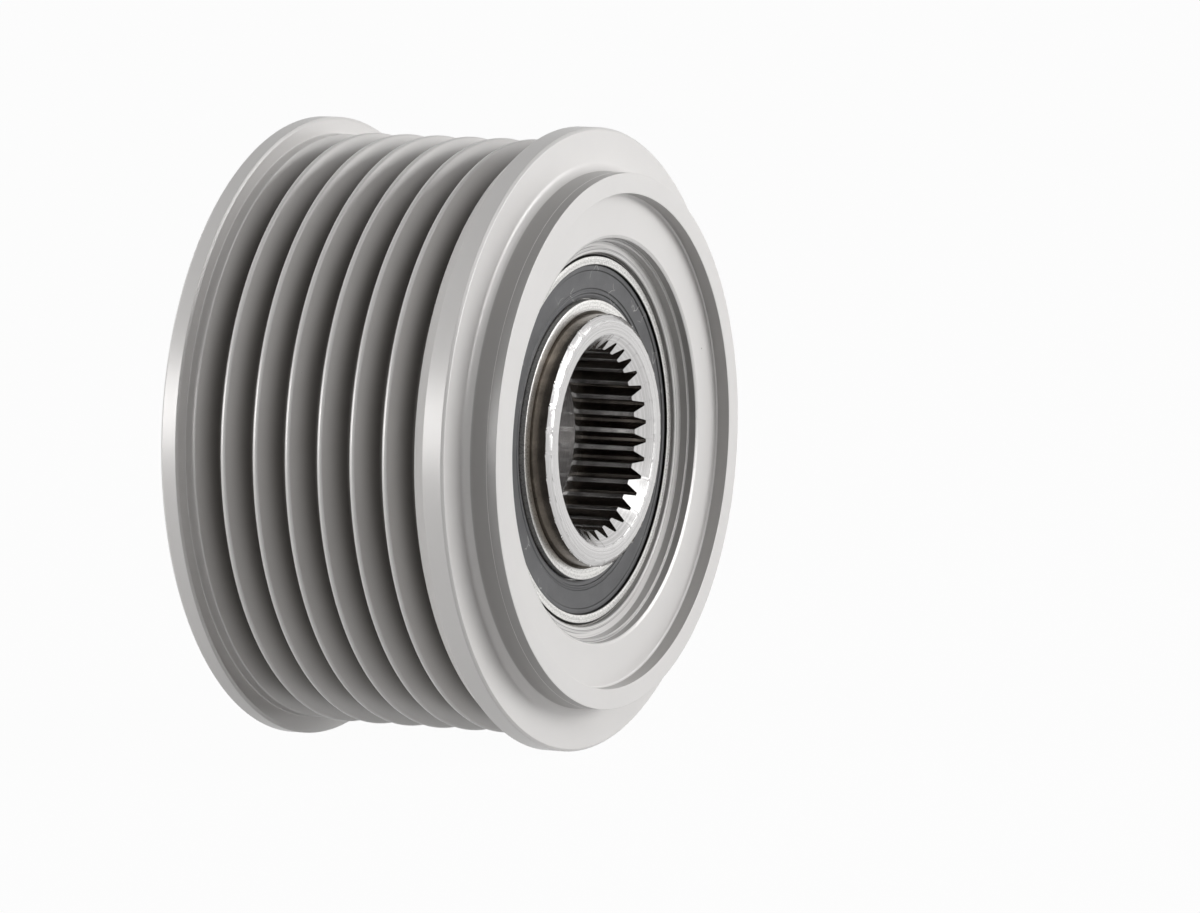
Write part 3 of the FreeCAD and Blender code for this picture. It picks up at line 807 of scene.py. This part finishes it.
def hub_mesh(sizes):
    """Hub as rings of one count: up the teeth, over the nose, down outside, up the bore."""
    mesh = bmesh.new()
    nose = HUB_HIGH.z
    rear = HUB_LOW.z
    socket = tooth_ring(mesh, sizes)

    def on_flare(old):
        radius = Vector((old.x, old.y)).length
        return Vector((old.x, old.y, nose - (sizes.mouth_radius - radius)))

    ring = next_ring(mesh, socket, on_flare)
    rounds = []
    wall = sizes.thread_radius + THREAD_WALL
    seat_end = rear + SEAT_DEPTH
    thread_end = sizes.socket_end - THREAD_RUN_OUT
    for radius, height, rounding in (
        (sizes.mouth_radius, nose, 0.05),
        (sizes.radius - NOSE_EDGE_IN, nose, 0.06),
        (sizes.radius, nose - NOSE_EDGE_DOWN, 0.08),
        (sizes.radius, rear + REAR_LEAD, 0.08),
        (sizes.radius - REAR_LEAD, rear, 0.08),
        (sizes.pilot_radius + REAR_LEAD, rear, 0.06),
        (sizes.pilot_radius, rear + REAR_LEAD, 0.06),
        (sizes.pilot_radius, seat_end, 0.05),
        (sizes.thread_radius + REAR_LEAD, seat_end, 0.05),
        (sizes.thread_radius, seat_end + REAR_LEAD, 0),
        (wall, seat_end + REAR_LEAD, 0),
        (wall, thread_end, 0),
        (sizes.thread_radius, thread_end, 0),
        (sizes.relief_radius, thread_end + sizes.relief_radius - sizes.thread_radius, 0.1),
        (sizes.relief_radius, sizes.socket_end, 0.06),
    ):
        ring = next_ring(mesh, ring, on_circle(radius, height))
        if rounding:
            rounds.append((ring, rounding * MM))
    bmesh.ops.bridge_loops(mesh, edges=ring + socket)
    for edges, rounding in rounds:
        bmesh.ops.bevel(mesh, geom=[edge for edge in edges if edge.is_valid], offset=rounding,
                        offset_type="OFFSET", segments=2, profile=0.5, affect="EDGES", material=-1)
    bmesh.ops.recalc_face_normals(mesh, faces=mesh.faces[:])
    return mesh


def thread_mesh(sizes):
    """Winding surface of the shaft thread, right-handed."""
    mesh = bmesh.new()
    crest, root = sizes.thread_radius + THREAD_INSET, sizes.thread_radius + THREAD_DEPTH
    pitch = sizes.thread_pitch
    start = HUB_LOW.z + THREAD_START
    turns = round((sizes.socket_end - THREAD_STOP - start) / pitch)
    points = [mesh.verts.new(((crest, root)[deep], 0, start + share * pitch))
              for deep, share in THREAD_TURN]
    for first, last in zip(points, points[1:]):
        mesh.edges.new((first, last))
    bmesh.ops.spin(mesh, geom=mesh.verts[:] + mesh.edges[:], cent=ORIGIN, axis=AXIS,
                   dvec=(0, 0, pitch / STEPS_PER_TURN), angle=2 * math.pi * turns,
                   steps=STEPS_PER_TURN * turns)
    bmesh.ops.remove_doubles(mesh, verts=mesh.verts[:], dist=0.002 * MM)
    bmesh.ops.recalc_face_normals(mesh, faces=mesh.faces[:])
    if mesh.faces[0].normal.dot(mesh.faces[0].calc_center_median() * Vector((1, 1, 0))) > 0:
        bmesh.ops.reverse_faces(mesh, faces=mesh.faces[:])
    return mesh


class PULLEY_OT_hub(bpy.types.Operator):
    """Hub with its serrated drive socket, flare, shaft thread and rear seat"""
    bl_idname = "pulley.hub"
    bl_label = "Splined hub"

    def execute(self, context):
        sizes = context.scene.pulley_hub_sizes
        material = hub_material(sizes, context.scene.pulley_colours)
        piece("toothed_hub", hub_mesh(sizes), "hub", "hub_steel", material, "splined_hub")
        piece("shaft_thread", thread_mesh(sizes), "hub", "hub_steel", material)
        return {"FINISHED"}


def side_up(corners, middle, front):
    """Outline about a bearing's middle moved to its place; the rear bearing faces down."""
    way = 1 if front else -1
    return [(radius * MM, middle + way * height * MM, rounding * MM)
            for radius, height, rounding in corners]


SEAL_NOTCH = 1.1  # millimetres down from a ring's face


def outer_ring_corners(half):
    """Outline of an outer ring about its middle, seal notch towards +Z, in millimetres."""
    notch = half - SEAL_NOTCH
    return [(16.9, -half, 0.05), (18.2, -half, 0.08), (18.5, 0.3 - half, 0.08),
            (18.5, half - 0.3, 0.08), (18.18, half, 0.07), (17.3, half, 0.05), (17.3, notch, 0),
            (16.9, notch, 0), (16.9, 1.1, 0), (17.22, 0.8, 0), (17.32, 0, 1.6), (17.22, -0.8, 0),
            (16.9, -1.1, 0)]


def inner_ring_corners(half):
    """Outline of an inner ring about its middle, seal notch towards +Z, in millimetres."""
    notch = half - SEAL_NOTCH
    return [(14.2, -half, 0.05), (14.2, -1.25, 0), (13.78, -0.8, 0), (13.68, 0, 1.6),
            (13.78, 0.8, 0), (14.2, 1.25, 0), (14.2, notch, 0), (13.88, notch, 0),
            (13.88, half, 0.05), (12.8, half, 0.08), (12.5, half - 0.3, 0.08),
            (12.5, 0.3 - half, 0.08), (12.8, -half, 0.08)]


class PULLEY_OT_bearing_rings(bpy.types.Operator):
    """Ground outer and inner rings of both bearings"""
    bl_idname = "pulley.bearing_rings"
    bl_label = "Bearing rings"

    def execute(self, context):
        sizes = context.scene.pulley_bearing_sizes
        tint = context.scene.pulley_colours.ground_steel[:]
        steel = steel_material("Ground ring steel", tint, dark_share=0.5, rough_low=0.22,
                               rough_high=0.38, fineness=7000.0, depth=0.003 * MM,
                               crease_shades=RING_CREASE_SHADES)
        half = sizes.width / 2 / MM
        for side, middle in BEARINGS:
            front = side == "front"
            outer = turned(side_up(outer_ring_corners(half), middle, front), sizes.steps)
            piece(f"{side}_ground_outer_ring", outer, "pulley", "bearing_steel", steel,
                  f"{side}_outer_ring")
            inner = turned(side_up(inner_ring_corners(half), middle, front), sizes.steps)
            piece(f"{side}_ground_inner_ring", inner, "hub", "bearing_steel", steel,
                  f"{side}_inner_ring")
        return {"FINISHED"}


def seal_corners(half):
    """Outline of a lip seal about its bearing's middle: rim, web, two beads, in millimetres."""
    face = half - 0.22
    web = face - 0.12
    return [(17.3, face - 0.8, 0), (17.3, face, 0.06), (16.82, face, 0.05), (16.72, web, 0.04),
            (15.02, web, 0.04), (14.95, web - 0.09, 0.03), (14.78, web - 0.09, 0.03),
            (14.7, web - 0.02, 0.05), (14.54, web - 0.02, 0.05), (14.46, web - 0.13, 0.03),
            (14.28, web - 0.13, 0.03), (14.0, face - 0.37, 0.05), (14.0, face - 0.8, 0)]


class PULLEY_OT_seals(bpy.types.Operator):
    """Rubber lip seals of both bearings"""
    bl_idname = "pulley.seals"
    bl_label = "Lip seals"

    def execute(self, context):
        sizes = context.scene.pulley_bearing_sizes
        rubber = rubber_material(context.scene.pulley_colours)
        half = sizes.width / 2 / MM
        for side, middle in BEARINGS:
            mesh = turned(side_up(seal_corners(half), middle, side == "front"), sizes.steps)
            piece(f"{side}_lip_seal", mesh, "pulley", "seal_rubber", rubber, f"{side}_seal")
        return {"FINISHED"}


class PULLEY_OT_rolling_parts(bpy.types.Operator):
    """Finishes of the balls, cages and roller clutch, which keep their frame shapes"""
    bl_idname = "pulley.rolling_parts"
    bl_label = "Balls, cages and clutch"

    def execute(self, context):
        colours = context.scene.pulley_colours
        plastic = plastic_material(colours)
        polished = steel_material(
            "Polished ball steel", colours.polished_steel[:], dark_share=0.1, rough_low=0.10,
            rough_high=0.18, fineness=3000.0, depth=0.001 * MM)
        hardened = steel_material(
            "Hardened clutch steel", colours.clutch_steel[:], dark_share=0.4, rough_low=0.30,
            rough_high=0.46, fineness=5000.0, depth=0.004 * MM)
        strip = steel_material(
            "Spring strip steel", colours.spring_steel[:], dark_share=0.3, rough_low=0.26,
            rough_high=0.40, fineness=4000.0, depth=0.003 * MM)
        for node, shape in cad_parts.items():
            if "cage" in node:
                finish = plastic
            elif "ball" in node or "roller" in node:
                finish = polished
            elif "spring" in node:
                finish = strip
            elif node == "clutch_sleeve":
                finish = hardened
            else:
                continue
            shape.data.materials.clear()
            shape.data.materials.append(finish)
        return {"FINISHED"}


# Studio: the pulley lies on its side on a white sweep, as in the photograph

LAMP_DISTANCE = 0.8
LAMPS = (  # name, degrees right of the camera, degrees up, size in metres, watts
    ("Left window", -68, 5, 0.4, 4.3),
    ("Right window", 91, 5, 0.6, 6.8),
    ("Top window", 60, 45, 0.5, 1.0),
)
SWEEP = (  # metres behind the pulley and up from the floor, radius of the bend
    (-1.6, 0.0, 0.0), (1.0, 0.0, 0.4), (1.0, 1.6, 0.0),
)
SWEEP_HALF_WIDTH = 2.0
SKY_STRENGTH = 0.05
WHITE_SHARE = 0.97
PAPER_GREY = (0.45, 0.45, 0.45, 1)


def camera_axes(studio):
    """Camera's right, up and back as columns, in the pulley's own axes."""
    sight = Vector((math.sin(studio.tilt) * math.cos(studio.roll),
                    -math.sin(studio.tilt) * math.sin(studio.roll), math.cos(studio.tilt)))
    up = (Vector((0, 1, 0)) - sight * sight.y).normalized()
    across = up.cross(sight)
    return Matrix((across, up, sight))


def room_axes(axes):
    """Level right, up and back as columns; up is square to the pulley's axis, which lies level."""
    right, lens_up, lens_back = axes.col
    up = (lens_up * lens_back.z - lens_back * lens_up.z).normalized()
    return Matrix((right, up, right.cross(up))).transposed()


def add_camera(studio, face, axes):
    """Camera at the photograph's angle, aimed past the pulley."""
    offset = axes @ Vector((studio.shift_right, studio.shift_up, -studio.distance))
    data = bpy.data.cameras.new("Camera")
    data.lens = studio.lens
    data.sensor_width = 36.0
    data.clip_start, data.clip_end = 0.05, 20.0
    camera = bpy.data.objects.new("Camera", data)
    bpy.context.collection.objects.link(camera)
    camera.matrix_world = Matrix.Translation(Vector((0, 0, face)) - offset) @ axes.to_4x4()
    bpy.context.scene.camera = camera


def add_lamp(name, turn, rise, size, power, room, centre):
    """Soft square lamp, at angles right of the camera and up from the floor."""
    data = bpy.data.lights.new(name, "AREA")
    data.size = size
    data.energy = power
    lamp = bpy.data.objects.new(name, data)
    bpy.context.collection.objects.link(lamp)
    turn, rise = math.radians(turn), math.radians(rise)
    way = room @ Vector((math.sin(turn) * math.cos(rise), math.sin(rise),
                         math.cos(turn) * math.cos(rise)))
    lamp.location = centre + way * LAMP_DISTANCE
    lamp.rotation_euler = way.to_track_quat("Z", "Y").to_euler()


def seen_white(tree, shader, share):
    """Mixes a share of plain white into a shader where the camera, or metal and glass, see it."""
    path = tree.nodes.new("ShaderNodeLightPath")
    seen = maths(tree, "MAXIMUM", path.outputs["Is Camera Ray"],
                 maths(tree, "MAXIMUM", path.outputs["Is Glossy Ray"],
                       path.outputs["Is Transmission Ray"]))
    white = tree.nodes.new("ShaderNodeEmission")
    white.inputs["Strength"].default_value = 1.0
    mix = tree.nodes.new("ShaderNodeMixShader")
    tree.links.new(maths(tree, "MULTIPLY", seen, share), mix.inputs[0])
    tree.links.new(shader, mix.inputs[1])
    tree.links.new(white.outputs[0], mix.inputs[2])
    return mix.outputs[0]


def paper_material():
    """Paper that shows near white and keeps a soft shadow; from behind it is clear."""
    paper = bpy.data.materials.new("White paper")
    paper.use_nodes = True
    tree = paper.node_tree
    shader = tree.nodes["Principled BSDF"]
    shader.inputs["Base Color"].default_value = PAPER_GREY
    shader.inputs["Roughness"].default_value = 0.9
    one_sided = tree.nodes.new("ShaderNodeMixShader")
    geometry = tree.nodes.new("ShaderNodeNewGeometry")
    tree.links.new(geometry.outputs["Backfacing"], one_sided.inputs[0])
    tree.links.new(seen_white(tree, shader.outputs[0], WHITE_SHARE), one_sided.inputs[1])
    tree.links.new(tree.nodes.new("ShaderNodeBsdfTransparent").outputs[0], one_sided.inputs[2])
    output = next(node for node in tree.nodes if node.type == "OUTPUT_MATERIAL")
    tree.links.new(one_sided.outputs[0], output.inputs["Surface"])
    return paper


def add_floor(room, centre, rim_radius):
    """White sweep: a floor that touches the rims, bent up into a backdrop."""
    mesh = bmesh.new()
    points = [mesh.verts.new((-SWEEP_HALF_WIDTH, rise, -behind)) for behind, rise, _ in SWEEP]
    for first, last in zip(points, points[1:]):
        mesh.edges.new((first, last))
    for point, (_, _, bend) in zip(points, SWEEP):
        if bend:
            bmesh.ops.bevel(mesh, geom=[point], offset=bend, offset_type="OFFSET", segments=12,
                            profile=0.5, affect="VERTICES", material=-1)
    made = bmesh.ops.extrude_edge_only(mesh, edges=mesh.edges[:])["geom"]
    bmesh.ops.translate(mesh, verts=corners_of(made), vec=(2 * SWEEP_HALF_WIDTH, 0, 0))
    ground = Matrix.Translation(centre - room.col[1] * rim_radius)
    bmesh.ops.transform(mesh, verts=mesh.verts[:], matrix=ground @ room.to_4x4())
    bmesh.ops.recalc_face_normals(mesh, faces=mesh.faces[:])
    level = max(mesh.faces, key=lambda face: abs(face.normal.dot(room.col[1])))
    if level.normal.dot(room.col[1]) < 0:
        bmesh.ops.reverse_faces(mesh, faces=mesh.faces[:])
    data = bpy.data.meshes.new("floor")
    mesh.to_mesh(data)
    mesh.free()
    data.shade_smooth()
    floor = bpy.data.objects.new("floor", data)
    bpy.context.collection.objects.link(floor)
    data.materials.append(paper_material())


def add_world():
    """Faint even sky light; what the camera and metal see of it is plain white."""
    world = bpy.data.worlds.new("Studio")
    world.use_nodes = True
    bpy.context.scene.world = world
    tree = world.node_tree
    sky = tree.nodes["Background"]
    sky.inputs["Color"].default_value = (1, 1, 1, 1)
    sky.inputs["Strength"].default_value = SKY_STRENGTH
    output = next(node for node in tree.nodes if node.type == "OUTPUT_WORLD")
    tree.links.new(seen_white(tree, sky.outputs[0], 1.0), output.inputs["Surface"])


class PULLEY_OT_studio(bpy.types.Operator):
    """White sweep, soft lamps and the camera of the photograph"""
    bl_idname = "pulley.studio"
    bl_label = "Studio"

    def execute(self, context):
        studio = context.scene.pulley_studio
        body = context.scene.pulley_body_sizes
        axes = camera_axes(studio)
        room = room_axes(axes)
        centre = Vector((0, 0, body.flange_face / 2))
        add_camera(studio, body.flange_face, axes)
        for name, turn, rise, size, power in LAMPS:
            add_lamp(name, turn, rise, size, power, room, centre)
        add_floor(room, centre, body.rim_radius)
        add_world()
        context.scene.view_settings.view_transform = "Standard"
        return {"FINISHED"}


class PULLEY_PT_panel(bpy.types.Panel):
    """Steps of the pulley in order"""
    bl_idname = "PULLEY_PT_panel"
    bl_label = "Pulley"
    bl_space_type = "VIEW_3D"
    bl_region_type = "UI"
    bl_category = "Pulley"

    def draw(self, context):
        for step in STEPS:
            self.layout.operator(step.bl_idname)
        for name, kind in GROUPS.items():
            box = self.layout.box()
            for label in kind.__annotations__:
                box.prop(getattr(context.scene, name), label)


STEPS = (PULLEY_OT_body, PULLEY_OT_hub, PULLEY_OT_bearing_rings, PULLEY_OT_seals,
         PULLEY_OT_rolling_parts, PULLEY_OT_studio)


def register():
    """Adds the classes and the settings."""
    for kind in (*GROUPS.values(), *STEPS, PULLEY_PT_panel):
        bpy.utils.register_class(kind)
    for name, kind in GROUPS.items():
        setattr(bpy.types.Scene, name, PointerProperty(type=kind))


def unregister():
    """Takes the settings and the classes away again."""
    for name in GROUPS:
        delattr(bpy.types.Scene, name)
    for kind in reversed((*GROUPS.values(), *STEPS, PULLEY_PT_panel)):
        bpy.utils.unregister_class(kind)


def main():
    """Makes every piece in order."""
    register()
    make_groups()
    bpy.ops.pulley.body()
    bpy.ops.pulley.hub()
    bpy.ops.pulley.bearing_rings()
    bpy.ops.pulley.seals()
    bpy.ops.pulley.rolling_parts()
    bpy.ops.pulley.studio()


if __name__ == "__main__":
    main()
